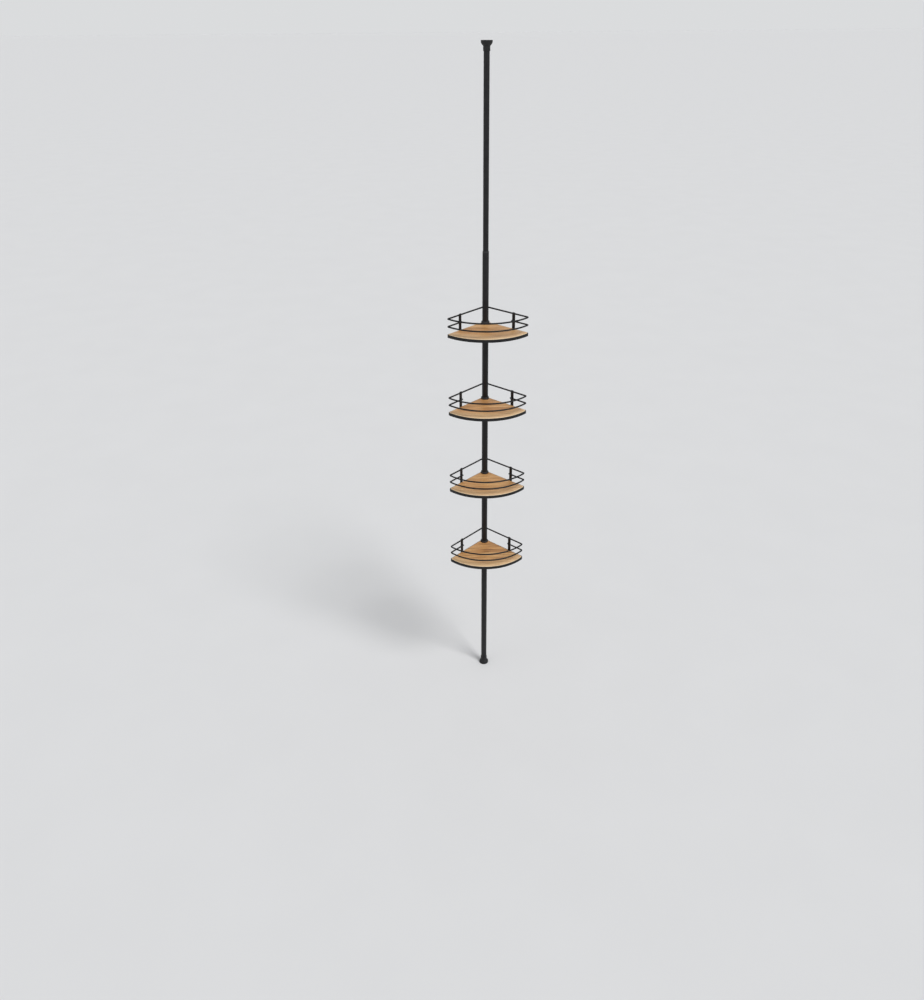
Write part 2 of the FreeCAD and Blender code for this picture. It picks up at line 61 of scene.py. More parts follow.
OUTWARDS = Vector((HALF_ROOT, HALF_ROOT))
ALONG = Vector((HALF_ROOT, -HALF_ROOT))
SHELVES = (1, 2, 3, 4)
SHARP_ANGLE = math.radians(38)
SLIVER = 0.01 * MM

# Steps of the round shapes
ROUND_STEPS = 96
FRONT_STEPS = 56
CORNER_STEPS = 12
APEX_STEPS = 8
WIRE_STEPS = 24
EDGE_STEPS = 4
FOOT_STEPS = 7
BOARD_EDGE_STEPS = 6
UPRIGHT_CORNER_STEPS = 6
NOTCH_STEPS = 40
BAR_NEAR_STEPS = 8
BAR_FAR_STEPS = 4

# Eased edges of the turned pieces
FINE_EASING = 0.2 * MM
PLAIN_EASING = 0.3 * MM
HUB_EASING = 0.35 * MM
MOUTH_EASING = 0.4 * MM
FLANGE_EASING = 0.5 * MM
WEDGE_TOP_EASING = 0.6 * MM
SLEEVE_EASING = 0.7 * MM
RING_EASING = 0.8 * MM
FOOT_EASING = 0.9 * MM
BUSH_EASING = 1.1 * MM

# Turned pieces
TUBE_WALL = 0.8 * MM
SLEEVE_WALL = 1.6 * MM
RUNNING_GAP = 0.05 * MM
FOOT_RIM_HEIGHT = 8 * MM
FOOT_FLARE_TOP = 17 * MM
FOOT_SHOULDER = 12 * MM
FOOT_NECK = 1.5 * MM
FOOT_FLOOR = 4 * MM
GROOVE_INNER = 9 * MM
GROOVE_OUTER = 12.5 * MM
GROOVE_DEPTH = 1 * MM
BUSH_FLANGE = 3 * MM
HUB_LOW_BORE = 13.25 * MM
HUB_HIGH_BORE = 12.75 * MM
RING_BORE = 13 * MM
RING_FLUTES = 30
FLUTE_STEPS = 6
STEPS_PER_FLUTE = 10
FLUTE_DEPTH = 0.3 * MM
FLUTE_FADE = 0.4
FLUTE_START = 0.8 * MM
FLUTE_END = 1.2 * MM
WEDGE_FLANGE = 3 * MM
WEDGE_SLIT = 0.8 * MM

# Shelf
APEX_RADIUS = 12 * MM
CORNER_RADIUS = 8 * MM
RIM_THICKNESS = 2.5 * MM
RIM_EDGE = 0.45 * MM
BOARD_GAP = 0.3 * MM
BOARD_EASING = 1.8 * MM
BOARD_LOWER_EASING = 0.6 * MM
NOTCH_GAP = 0.3 * MM
BAR_ANGLE = math.radians(32)
BAR_WIDTH = 14 * MM
BAR_EDGE = 0.35 * MM
UPRIGHT_WIDTH = 12 * MM
UPRIGHT_CORNER = 3.3 * MM
UPRIGHT_FOOT = 0.6 * MM
UPRIGHT_EDGE = 0.4 * MM
WIRE_END_DOME = 0.35

# Weld beads, by their radius. A lump is a share of it, radians per point and a start.
BEAD = 0.8 * MM
RAIL_BEAD = 0.64 * MM
BEAD_POINTS = 15
BEAD_STEPS = 10
BEAD_END = 0.004
BEAD_FULLNESS = 1.25
BEAD_LUMPS = ((0.14, 2.1, 0), (0.06, 5.3, 1))
BEAD_SET_BACK = 1 * MM
SIDE_BEAD_REACH = 0.1 * MM
SIDE_BEAD_DEPTH = 0.2 * MM
RAIL_BEAD_REACH = 0.7
RAIL_BEAD_RISE = 0.72
RAIL_BEAD_DEPTH = -0.55 * MM
BAR_BEAD_REACH = 0.8
BAR_BEAD_SET_BACK = 0.3 * MM
HUB_BEAD_GAP = 0.4 * MM
HUB_BEAD_DEPTH = -0.3 * MM
HUB_BEAD_TURN = math.radians(24)

# Spring
SPRING_WIRE_RADIUS = 1 * MM
SPRING_PLAY = 0.6 * MM
SPRING_TURNS = 8
SPRING_STEPS = 12
CLOSED_PITCH = 2.1 * MM
CLOSED_TURNS = 0.9
CLOSING_TURNS = 0.5
TURN_STEPS = 32

# Wood, from the darkest streak to the palest, and where the painted light that pales the boards'
# fronts starts and ends
STAVE_WIDTH = 36 * MM
STAVE_SHIFT = 13 * MM
PAINTED_LIGHT_START = 130 * MM
PAINTED_LIGHT_END = 168 * MM
WOOD_TONES = (
    (0.42, (0.150, 0.057, 0.016)),
    (0.51, (0.495, 0.240, 0.080)),
    (0.60, (0.700, 0.388, 0.145)),
    (0.72, (0.820, 0.545, 0.265)),
)
STAVE_TINT = (0.62, 0.42, 0.26)
PORE_COLOUR = (0.10, 0.045, 0.018)
# Painted light: the colour that the boards' fronts and eased edges are lightened towards, as if lit.
PAINTED_LIGHT_WOOD = (0.85, 0.69, 0.47)

# Other colours
POLE_DARK = (0.007, 0.007, 0.008)
POLE_LIGHT = (0.013, 0.013, 0.014)
SHELF_DARK = (0.006, 0.006, 0.007)
SHELF_LIGHT = (0.011, 0.011, 0.012)
COATING_SPECK = (0.045, 0.045, 0.048)
COATING_RUBBED = (0.085, 0.082, 0.078)
RUBBER_CLEAN = (0.008, 0.008, 0.009)
RUBBER_DUSTY = (0.026, 0.026, 0.025)
PLASTIC_DARK = (0.016, 0.016, 0.018)
PLASTIC_LIGHT = (0.026, 0.026, 0.028)
JOINER_TINT = (0.62, 0.62, 0.64)
SPRING_TINT = (0.50, 0.50, 0.52)
SCREW_TINT = (0.66, 0.66, 0.68)
FLOOR_DARK = (0.72, 0.72, 0.725)
FLOOR_LIGHT = (0.75, 0.75, 0.755)
SKY_LOW = (0.705, 0.715, 0.725)
SKY_HIGH = (0.44, 0.45, 0.46)


# ---------------------------------------------------------------- shells
# A shell is a pair: a list of vertices and a list of faces that number them.

def stitch(rings, closed_along=False):
    """Quads between closed rings of equally many points."""
    count = len(rings[0])
    vertices = [tuple(point) for ring in rings for point in ring]
    faces = []
    for ring in range(len(rings) if closed_along else len(rings) - 1):
        here, there = ring * count, (ring + 1) % len(rings) * count
        for index in range(count):
            after = (index + 1) % count
            faces.append((here + index, here + after, there + after, there + index))
    return vertices, faces


def cap(shell, count):
    """Close a stitched shell's two ends with one face each."""
    vertices, faces = shell
    last = len(vertices) - count
    faces.append(tuple(range(count)))
    faces.append(tuple(range(last, last + count)))
    return vertices, faces


def add_mesh(name, *shells):
    """One mesh object from any number of shells, smooth except across sharp edges."""
    vertices, faces = [], []
    for some_vertices, some_faces in shells:
        start = len(vertices)
        vertices += some_vertices
        faces += [tuple(start + index for index in face) for face in some_faces]
    mesh = bpy.data.meshes.new(name)
    mesh.from_pydata(vertices, [], faces)
    work = bmesh.new()
    work.from_mesh(mesh)
    bmesh.ops.remove_doubles(work, verts=work.verts, dist=1e-7)
    bmesh.ops.recalc_face_normals(work, faces=work.faces)
    work.to_mesh(mesh)
    work.free()
    mesh.shade_smooth()
    mesh.set_sharp_from_angle(angle=SHARP_ANGLE)
    piece = bpy.data.objects.new(name, mesh)
    bpy.context.scene.collection.objects.link(piece)
    return piece


def arc(centre, radius, first, last, steps):
    """Points on an arc from one angle to another, both ends included."""
    points = []
    for step in range(steps + 1):
        angle = first + (last - first) * step / steps
        points.append(Vector(centre) + radius * Vector((math.cos(angle), math.sin(angle))))
    return points


def rounded(corners, steps=EDGE_STEPS):
    """A closed outline of (x, y, radius) corners, each rounded where its radius isn't zero."""
    points = []
    for index, (x, y, radius) in enumerate(corners):
        here = Vector((x, y))
        if radius == 0:
            points.append(here)
            continue
        before = (Vector(corners[index - 1][:2]) - here).normalized()
        after = (Vector(corners[(index + 1) % len(corners)][:2]) - here).normalized()
        half = before.angle(after) / 2
        centre = here + (before + after).normalized() * (radius / math.sin(half))
        start = here + before * (radius / math.tan(half)) - centre
        end = here + after * (radius / math.tan(half)) - centre
        first = math.atan2(start.y, start.x)
        turn = math.remainder(math.atan2(end.y, end.x) - first, 2 * math.pi)
        points += arc(centre, radius, first, first + turn, steps)
    return points


def turned(section, base, steps=ROUND_STEPS, ripple=None):
    """A closed section of (radius, height) points, turned about the pole's axis."""
    rings = []
    for step in range(steps):
        angle = 2 * math.pi * step / steps
        ring = []
        for radius, height in section:
            if ripple:
                radius += ripple(angle, radius, height)
            ring.append((radius * math.cos(angle), radius * math.sin(angle), base + height))
        rings.append(ring)
    return stitch(rings, closed_along=True)


def half_turned(section, base, slit, side):
    """A half shell of a turned section, with a flat slit between it and its twin."""
    rings = []
    for step in range(ROUND_STEPS // 2 + 1):
        share = step / (ROUND_STEPS // 2)
        ring = []
        for radius, height in section:
            start = math.asin(slit / 2 / radius)
            angle = -math.pi / 2 + start + (math.pi - 2 * start) * share
            x, y = radius * math.cos(angle), radius * math.sin(angle)
            ring.append((side * x, y, base + height))
        rings.append(ring)
    return cap(stitch(rings), len(section))


def plate(outline_at, thickness, edge, place):
    """A flat bar with eased edges. outline_at(inset) is its outline, place(x, y, depth) a point."""
    turns = [math.pi / 2 * step / EDGE_STEPS for step in range(EDGE_STEPS + 1)]
    levels = [(edge * (1 - math.sin(turn)), edge * (1 - math.cos(turn))) for turn in turns]
    levels += [(inset, thickness - depth) for inset, depth in reversed(levels)]
    rings = [[place(x, y, depth) for x, y in outline_at(inset)] for inset, depth in levels]
    return cap(stitch(rings), len(rings[0]))


def round_run(points, radii, steps):
    """A round run along a line of points, with a radius for each point and closed ends."""
    runs = [Vector(point) for point in points]
    rings = []
    for index, (point, radius) in enumerate(zip(runs, radii)):
        ahead = runs[min(index + 1, len(runs) - 1)] - runs[max(index - 1, 0)]
        turn = ahead.to_track_quat("Z", "Y").to_matrix()
        angles = [2 * math.pi * step / steps for step in range(steps)]
        rings.append([
            point + turn @ Vector((radius * math.cos(angle), radius * math.sin(angle), 0))
            for angle in angles
        ])
    return cap(stitch(rings), steps)


def bead(spot_at, radius):
    """A lumpy weld bead. spot_at(share) is the place a share of the way along it."""
    points, radii = [], []
    for step in range(BEAD_POINTS):
        share = step / (BEAD_POINTS - 1)
        points.append(spot_at(share))
        swell = math.sqrt(math.sin(math.pi * min(max(share, BEAD_END), 1 - BEAD_END)))
        lump = 1 + sum(size * math.cos(step * pace + start) for size, pace, start in BEAD_LUMPS)
        radii.append(radius * min(1, BEAD_FULLNESS * swell) * lump)
    return round_run(points, radii, BEAD_STEPS)


def straight_bead(start, end, radius):
    """A weld bead along a straight edge."""
    return bead(lambda share: Vector(start).lerp(Vector(end), share), radius)


# ---------------------------------------------------------------- the shelf's plan

rim_low, rim_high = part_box("shelf_rim_1")
PLAN_FRONT = -rim_low.y
PLAN_SIDE = (rim_high.y - APEX_RADIUS) * HALF_ROOT + APEX_RADIUS


def faced(centre, radius, first, last, steps):
    """Points on an arc, each with the direction that faces outwards there."""
    centre = Vector(centre)
    return [
        (point, (point - centre).normalized())
        for point in arc(centre, radius, first, last, steps)
    ]


def half_outline(inset, stop=None):
    """The plan's right half, as pairs of a point and its outward direction, from the front's
    middle to the apex, or to a stop that counts along the wall side from the pole's axis."""
    side, front = PLAN_SIDE - inset, PLAN_FRONT - inset
    corner, apex = CORNER_RADIUS - inset, APEX_RADIUS - inset
    run = math.sqrt((front - corner) ** 2 - (side - corner) ** 2)
    centre = OUTWARDS * (side - corner) + ALONG * run
    turn = math.atan2(centre.y, centre.x)
    pairs = faced((0, 0), front, -math.pi / 2, turn, FRONT_STEPS)
    pairs += faced(centre, corner, turn, math.pi / 4, CORNER_STEPS)[1:]
    if stop is not None:
        return pairs + [(OUTWARDS * side + ALONG * stop, OUTWARDS)]
    apex_centre = (0, (side - apex) / HALF_ROOT)
    return pairs + faced(apex_centre, apex, math.pi / 4, math.pi / 2, APEX_STEPS)


def flip(vector):
    return Vector((-vector.x, *vector[1:]))


def whole_outline(inset):
    """The closed plan, anticlockwise from the front's middle."""
    right = half_outline(inset)
    left = [(flip(point), flip(way)) for point, way in reversed(right)]
    return right + left[1:-1]


def open_outline(inset, stop):
    """The plan without its back, from the left stop round the front to the right stop."""
    right = half_outline(inset, stop)
    left = [(flip(point), flip(way)) for point, way in reversed(right)]
    return left[:-1] + right


def swept_ring(point, way, section, base):
    """A section of (outward, height) points stood up on one point of the plan."""
    return [
        (point.x + way.x * out, point.y + way.y * out, base + height) for out, height in section
    ]


def wire_section(radius):
    return [(p.x, p.y) for p in arc((0, 0), radius, 0, 2 * math.pi, WIRE_STEPS)[:-1]]


# ---------------------------------------------------------------- materials

def new_material(name):
    material = bpy.data.materials.new(name)
    material.use_nodes = True
    tree = material.node_tree
    return material, tree, tree.nodes["Principled BSDF"]


def add_node(tree, kind, inputs=None, **settings):
    """A node with its settings, and with its inputs set to values or linked to sockets."""
    made = tree.nodes.new(kind)
    for name, value in settings.items():
        setattr(made, name, value)
    for name, value in (inputs or {}).items():
        if isinstance(value, bpy.types.NodeSocket):
            tree.links.new(value, made.inputs[name])
        else:
            made.inputs[name].default_value = value
    return made


def own_place(tree):
    """The point's own coordinates, which move with the piece."""
    return add_node(tree, "ShaderNodeTexCoord").outputs["Object"]


def noise(tree, place, scale, detail=2.0, roughness=0.5, stretch=(1, 1, 1), shift=(0, 0, 0)):
    inputs = {"Vector": place, "Scale": stretch, "Location": shift}
    mapping = add_node(tree, "ShaderNodeMapping", inputs)
    inputs = {"Vector": mapping.outputs[0], "Scale": scale, "Detail": detail,
              "Roughness": roughness}
    return add_node(tree, "ShaderNodeTexNoise", inputs).outputs["Fac"]


def maths(tree, operation, first, second=0.0):
    return add_node(tree, "ShaderNodeMath", {0: first, 1: second}, operation=operation).outputs[0]


def remap(tree, value, low, high, to_low=0.0, to_high=1.0):
    inputs = {"Value": value, "From Min": low, "From Max": high, "To Min": to_low,
              "To Max": to_high}
    return add_node(tree, "ShaderNodeMapRange", inputs).outputs["Result"]


def mix(tree, share, first, second, blend="MIX"):
    """A mix of two colours."""
    made = add_node(tree, "ShaderNodeMix", data_type="RGBA", blend_type=blend)
    for index, value in ((0, share), (6, first), (7, second)):
        if isinstance(value, bpy.types.NodeSocket):
            tree.links.new(value, made.inputs[index])
        elif index == 0:
            made.inputs[index].default_value = value
        else:
            made.inputs[index].default_value = (*value, 1)
    return made.outputs[2]


def ramp(tree, value, stops):
    """A colour ramp of (position, colour) stops."""
    made = add_node(tree, "ShaderNodeValToRGB", {"Fac": value})
    elements = made.color_ramp.elements
    while len(elements) < len(stops):
        elements.new(1)
    for element, (position, colour) in zip(elements, stops):
        element.position = position
        element.color = (*colour, 1)
    return made.outputs["Color"]


def add_bump(tree, shader, height, distance, strength=1.0):
    bump = add_node(tree, "ShaderNodeBump", {"Height": height, "Distance": distance,
                                             "Strength": strength})
    tree.links.new(bump.outputs["Normal"], shader.inputs["Normal"])


def make_coating(name, dark, light):
    """Satin black powder coat: orange peel, faint mottling, thin rubbed edges."""
    material, tree, shader = new_material(name)
    place = own_place(tree)
    mottle = noise(tree, place, 60, detail=4, roughness=0.6)
    speck = noise(tree, place, 2600, detail=1)
    colour = mix(tree, remap(tree, mottle, 0.35, 0.65), dark, light)
    colour = mix(tree, remap(tree, speck, 0.62, 0.75, 0, 0.4), colour, COATING_SPECK)
    worn = add_node(tree, "ShaderNodeNewGeometry").outputs["Pointiness"]
    patches = remap(tree, noise(tree, place, 240, detail=3), 0.5, 0.68, 0, 0.55)
    rubbed = maths(tree, "MULTIPLY", remap(tree, worn, 0.53, 0.62), patches)
    colour = mix(tree, rubbed, colour, COATING_RUBBED)
    tree.links.new(colour, shader.inputs["Base Color"])
    smear = noise(tree, place, 35, detail=3, stretch=(1, 1, 0.25))
    tree.links.new(remap(tree, smear, 0.3, 0.7, 0.40, 0.54), shader.inputs["Roughness"])
    shader.inputs["Specular IOR Level"].default_value = 0.26
    add_bump(tree, shader, noise(tree, place, 900, detail=2), 0.00005)
    return material


def make_wood(name):
    """Satin sealed brown boards: staves of streaky grain from left to right, with painted light
    making them paler towards the round front and a painted highlight on the eased edge.
    """
    material, tree, shader = new_material(name)
    place = own_place(tree)
    parts = add_node(tree, "ShaderNodeSeparateXYZ", {0: place})
    x, y, z = parts.outputs

    # Each stave of each board has its own tint and its own stretch of grain. No two boards
    # are in the same seventh of a metre.
    shifted = maths(tree, "ADD", y, STAVE_SHIFT)
    stave = maths(tree, "FLOOR", maths(tree, "DIVIDE", shifted, STAVE_WIDTH))
    board = maths(tree, "FLOOR", maths(tree, "MULTIPLY", z, 7))
    board_seed = maths(tree, "MULTIPLY", board, 11.3)
    seed = maths(tree, "ADD", maths(tree, "MULTIPLY", stave, 3.7), board_seed)
    chance = add_node(tree, "ShaderNodeTexWhiteNoise", {"W": seed}, noise_dimensions="1D")
    chance = chance.outputs["Value"]
    along = maths(tree, "MULTIPLY", chance, 3.1)
    slide = add_node(tree, "ShaderNodeCombineXYZ", {0: along, 2: seed}).outputs[0]
    own = add_node(tree, "ShaderNodeVectorMath", {0: place, 1: slide}, operation="ADD")
    own = own.outputs[0]

    drift = noise(tree, own, 1, detail=3, roughness=0.55, stretch=(5, 26, 26))
    bent = maths(tree, "ADD", y, maths(tree, "MULTIPLY", drift, 0.022))
    figure = maths(tree, "SINE", maths(tree, "MULTIPLY", bent, 640))
    figure = remap(tree, figure, -1, 1)
    streaks = noise(tree, own, 1, detail=6, roughness=0.68, stretch=(9, 260, 260))
    fibres = noise(tree, own, 1, detail=4, roughness=0.7, stretch=(40, 1100, 1100))
    blotches = noise(tree, own, 1, detail=2, stretch=(7, 20, 20))

    tone = maths(tree, "MULTIPLY", streaks, 0.62)
    for layer, weight in ((figure, 0.12), (fibres, 0.14), (blotches, 0.26)):
        tone = maths(tree, "ADD", tone, maths(tree, "MULTIPLY", layer, weight))

    # Painted light: towards the round front the boards are made paler and yellower, as if more light
    # fell there.
    flat = add_node(tree, "ShaderNodeCombineXYZ", {0: x, 1: y}).outputs[0]
    radius = add_node(tree, "ShaderNodeVectorMath", {0: flat}, operation="LENGTH").outputs["Value"]
    front = remap(tree, radius, PAINTED_LIGHT_START, PAINTED_LIGHT_END)
    tone = maths(tree, "ADD", tone, maths(tree, "MULTIPLY", front, 0.040))
    colour = ramp(tree, tone, WOOD_TONES)
    colour = mix(tree, remap(tree, chance, 0, 1, 0, 0.34), colour, STAVE_TINT, "MULTIPLY")
    pores = noise(tree, own, 1, detail=2, stretch=(120, 2600, 2600))
    colour = mix(tree, remap(tree, pores, 0.60, 0.70, 0, 0.6), colour, PORE_COLOUR)

    # Painted highlight: the eased edge, which faces sideways, is made the palest, as if it caught the
    # light.
    normal = add_node(tree, "ShaderNodeNewGeometry").outputs["Normal"]
    upright = add_node(tree, "ShaderNodeSeparateXYZ", {0: normal}).outputs[2]
    eased = remap(tree, maths(tree, "ABSOLUTE", upright), 0.97, 0.75, 0, 0.8)
    painted_light_share = maths(tree, "MAXIMUM", maths(tree, "MULTIPLY", front, 0.28), eased)
    colour = mix(tree, painted_light_share, colour, PAINTED_LIGHT_WOOD)
    tree.links.new(colour, shader.inputs["Base Color"])

    tree.links.new(remap(tree, streaks, 0.3, 0.7, 0.56, 0.40), shader.inputs["Roughness"])
    shader.inputs["Coat Weight"].default_value = 0.12
    shader.inputs["Coat Roughness"].default_value = 0.35
    relief = maths(tree, "ADD", streaks, maths(tree, "MULTIPLY", fibres, 0.6))
    relief = maths(tree, "SUBTRACT", relief, remap(tree, pores, 0.60, 0.70, 0, 0.8))
    add_bump(tree, shader, relief, 0.00012)
    return material


def make_rubber(name):
    """Matt black rubber with a fine moulded skin and a little dust in it."""
    material, tree, shader = new_material(name)
    place = own_place(tree)
    dust = remap(tree, noise(tree, place, 220, detail=4, roughness=0.65), 0.50, 0.72, 0, 0.5)
    colour = mix(tree, dust, RUBBER_CLEAN, RUBBER_DUSTY)
    tree.links.new(colour, shader.inputs["Base Color"])
    tree.links.new(remap(tree, dust, 0, 0.5, 0.46, 0.70), shader.inputs["Roughness"])
    shader.inputs["Specular IOR Level"].default_value = 0.32
    add_bump(tree, shader, noise(tree, place, 1500, detail=2), 0.00005)
    return material


def make_plastic(name):
    """Moulded black plastic with a fine spark-eroded texture."""
    material, tree, shader = new_material(name)
    place = own_place(tree)
    cloud = remap(tree, noise(tree, place, 90, detail=3), 0.35, 0.65)
    colour = mix(tree, cloud, PLASTIC_DARK, PLASTIC_LIGHT)
    tree.links.new(colour, shader.inputs["Base Color"])
    tree.links.new(remap(tree, cloud, 0, 1, 0.46, 0.58), shader.inputs["Roughness"])
    add_bump(tree, shader, noise(tree, place, 2200, detail=1), 0.00004)
    return material


def make_steel(name, tint, low, high, stretch):
    """Bare or zinc-plated steel with drawing or plating marks."""
    material, tree, shader = new_material(name)
    place = own_place(tree)
    marks = noise(tree, place, 1, detail=4, roughness=0.6, stretch=stretch)
    bloom = noise(tree, place, 130, detail=3)
    darker = tuple(value * 0.62 for value in tint)
    colour = mix(tree, remap(tree, bloom, 0.35, 0.7), darker, tint)
    tree.links.new(colour, shader.inputs["Base Color"])
    shader.inputs["Metallic"].default_value = 1
    tree.links.new(remap(tree, marks, 0.3, 0.7, low, high), shader.inputs["Roughness"])
    add_bump(tree, shader, marks, 0.00003)
    return material


pole_coating = make_coating("pole_coating", POLE_DARK, POLE_LIGHT)
shelf_coating = make_coating("shelf_coating", SHELF_DARK, SHELF_LIGHT)
wood = make_wood("board_wood")
rubber = make_rubber("foot_rubber")
plastic = make_plastic("black_plastic")
joiner_steel = make_steel("joiner_steel", JOINER_TINT, 0.24, 0.42, (500, 500, 20))
spring_steel = make_steel("spring_steel", SPRING_TINT, 0.22, 0.40, (900, 900, 900))
screw_steel = make_steel("screw_steel", SCREW_TINT, 0.22, 0.38, (1400, 1400, 1400))


# ---------------------------------------------------------------- pieces

def give(piece, body, slot, material, *nodes):
    """Finish a piece: its material, the body that it rides and the nodes it replaces. The slot is not
    used.
    """
    piece.data.materials.append(material)
    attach(piece, body)
    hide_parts(*nodes)


def keep(node, material):
    """A CAD node that stays as it is, with a better material."""
    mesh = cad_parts[node].data
    mesh.materials.clear()
    mesh.materials.append(material)


def make_tube(node, body):
    """One length of tube with eased ends."""
    low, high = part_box(node)
    outer, length = high.x, high.z - low.z
    inner = outer - TUBE_WALL
    corners = ((inner, 0), (outer, 0), (outer, length), (inner, length))
    section = rounded([(radius, height, PLAIN_EASING) for radius, height in corners])
    give(add_mesh(node + "_skin", turned(section, low.z)), body, "pole_coating", pole_coating, node)


def make_foot(node, body, tube_radius, upside_down):
    """A flared rubber foot with a sleeve up the tube and a grip groove in its face."""
    low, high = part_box(node)
    wide, height = high.x, high.z - low.z
    sleeve = tube_radius + SLEEVE_WALL
    section = rounded([
        (0, 0, 0),
        (GROOVE_INNER, 0, MOUTH_EASING),
        (GROOVE_INNER, GROOVE_DEPTH, PLAIN_EASING),
        (GROOVE_OUTER, GROOVE_DEPTH, PLAIN_EASING),
        (GROOVE_OUTER, 0, MOUTH_EASING),
        (wide, 0, FOOT_EASING),
        (wide, FOOT_RIM_HEIGHT, FOOT_SHOULDER),
        (sleeve, FOOT_FLARE_TOP, FOOT_NECK),
        (sleeve, height, SLEEVE_EASING),
        (tube_radius, height, PLAIN_EASING),
        (tube_radius, FOOT_FLOOR, 0),
        (0, FOOT_FLOOR, 0),
    ], steps=FOOT_STEPS)
    if upside_down:
        section = [(radius, -rise) for radius, rise in section]
    base = high.z if upside_down else low.z
    give(add_mesh(node + "_moulding", turned(section, base)), body, "foot_rubber", rubber, node)


def make_guide_bush():
    """The bush in the outer tube's mouth, its flange on the tube's end."""
    node = "guide_bush"
    low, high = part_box(node)
    flange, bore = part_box("upper_tube")[1].x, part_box("telescopic_tube")[1].x + RUNNING_GAP
    spigot = flange - TUBE_WALL
    length, shoulder = high.z - low.z, high.z - low.z - BUSH_FLANGE
    section = rounded([
        (bore, 0, PLAIN_EASING),
        (spigot, 0, PLAIN_EASING),
        (spigot, shoulder, 0),
        (flange, shoulder, 0),
        (flange, length, BUSH_EASING),
        (bore, length, MOUTH_EASING),
    ])
    give(add_mesh(node + "_moulding", turned(section, low.z)), "pole", "black_plastic", plastic, node)


def make_wedge_sleeve(shelf):
    """The conical sleeve between the pole and the hub, in two half shells."""
    node = f"wedge_sleeve_{shelf}"
    low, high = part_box(node)
    hub_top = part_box(f"shelf_hub_{shelf}")[1].z
    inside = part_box("upper_tube")[1].x + RUNNING_GAP
    flange = high.y
    shoulder, cone, top = WEDGE_FLANGE, hub_top - low.z, high.z - low.z
    section = rounded([
        (inside, 0, FINE_EASING),
        (flange, 0, FLANGE_EASING),
        (flange, shoulder, PLAIN_EASING),
        (HUB_LOW_BORE - RUNNING_GAP, shoulder, 0),
        (HUB_HIGH_BORE - RUNNING_GAP, cone, 0),
        (HUB_HIGH_BORE - RUNNING_GAP, top, WEDGE_TOP_EASING),
        (inside, top, FINE_EASING),
    ])
    halves = [half_turned(section, low.z, WEDGE_SLIT, side) for side in (-1, 1)]
    give(add_mesh(node + "_moulding", *halves), f"collar_{shelf}", "black_plastic", plastic, node)


def make_hub(shelf):
    """The steel hub, bored to fit the wedge sleeve."""
    node = f"shelf_hub_{shelf}"
    low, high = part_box(node)
    outer, length = high.x, high.z - low.z
    section = rounded([
        (HUB_LOW_BORE, 0, FINE_EASING),
        (outer, 0, HUB_EASING),
        (outer, length, HUB_EASING),
        (HUB_HIGH_BORE, length, FINE_EASING),
    ])
    give(add_mesh(node + "_turning", turned(section, low.z)), f"shelf_{shelf}", "shelf_coating",
         shelf_coating, node)


def make_ring(shelf):
    """The collar on the hub, with shallow grip flutes round its wall."""
    node = f"hub_ring_{shelf}"
    low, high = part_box(node)
    outer, height = high.x, high.z - low.z
    start, end = FLUTE_START, height - FLUTE_END
    wall = [(outer, start + (end - start) * step / FLUTE_STEPS, 0) for step in range(FLUTE_STEPS + 1)]

    def flute(angle, radius, rise):
        if radius < outer - SLIVER or not start < rise < end:
            return 0
        fade = math.sin(math.pi * (rise - start) / (end - start)) ** FLUTE_FADE
        return -FLUTE_DEPTH * fade * max(0, math.cos(RING_FLUTES * angle))

    section = rounded([
        (RING_BORE, 0, 0),
        (outer, 0, PLAIN_EASING),
        *wall,
        (outer, height, RING_EASING),
        (RING_BORE, height, MOUTH_EASING),
    ])
    shell = turned(section, low.z, steps=RING_FLUTES * STEPS_PER_FLUTE, ripple=flute)
    give(add_mesh(node + "_moulding", shell), f"shelf_{shelf}", "black_plastic", plastic, node)


def make_rim(shelf):
    """The flat bar that runs round the board's edge."""
    node = f"shelf_rim_{shelf}"
    low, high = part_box(node)
    height = high.z - low.z
    section = rounded([
        (-RIM_THICKNESS, 0, RIM_EDGE), (0, 0, RIM_EDGE), (0, height, RIM_EDGE),
        (-RIM_THICKNESS, height, RIM_EDGE),
    ])
    rings = [swept_ring(point, way, section, low.z) for point, way in whole_outline(0)]
    give(add_mesh(node + "_band", stitch(rings, closed_along=True)), f"shelf_{shelf}",
         "shelf_coating", shelf_coating, node)


def make_top_rail(shelf):
    """The closed wire loop over the rim."""
    node = f"top_rail_{shelf}"
    low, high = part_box(node)
    wire = (high.z - low.z) / 2
    section = wire_section(wire)
    rings = [
        swept_ring(point, way, section, low.z + wire) for point, way in whole_outline(wire)
    ]
    give(add_mesh(node + "_wire", stitch(rings, closed_along=True)), f"shelf_{shelf}",
         "shelf_coating", shelf_coating, node)


def make_lower_rail(shelf):
    """The wire from one upright round the front to the other, its cut ends slightly domed."""
    node = f"lower_rail_{shelf}"
    low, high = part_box(node)
    wire = (high.z - low.z) / 2
    stop = upright_middle(shelf) - UPRIGHT_WIDTH / 2
    path = open_outline(wire, stop)
    rings = [swept_ring(point, way, wire_section(wire), low.z + wire) for point, way in path]
    for end, back in ((0, flip(ALONG)), (-1, ALONG)):
        point, way = path[end]
        dome = []
        for step in range(1, EDGE_STEPS + 1):
            turn = math.pi / 2 * step / EDGE_STEPS
            size = wire * (1 - WIRE_END_DOME * (1 - math.cos(turn)))
            moved = point + back * (WIRE_END_DOME * wire * (1 - math.sin(turn)))
            dome.append(swept_ring(moved, way, wire_section(size), low.z + wire))
        if end == 0:
            rings = list(reversed(dome)) + rings[1:]
        else:
            rings = rings[:-1] + dome
    shell = cap(stitch(rings), WIRE_STEPS)
    give(add_mesh(node + "_wire", shell), f"shelf_{shelf}", "shelf_coating", shelf_coating, node)


def upright_middle(shelf):
    """How far along the wall side the uprights stand, from the pole's axis."""
    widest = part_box(f"rail_uprights_{shelf}")[1].x
    far = widest / HALF_ROOT - (PLAN_SIDE + RIM_THICKNESS)
    return far - UPRIGHT_WIDTH / 2


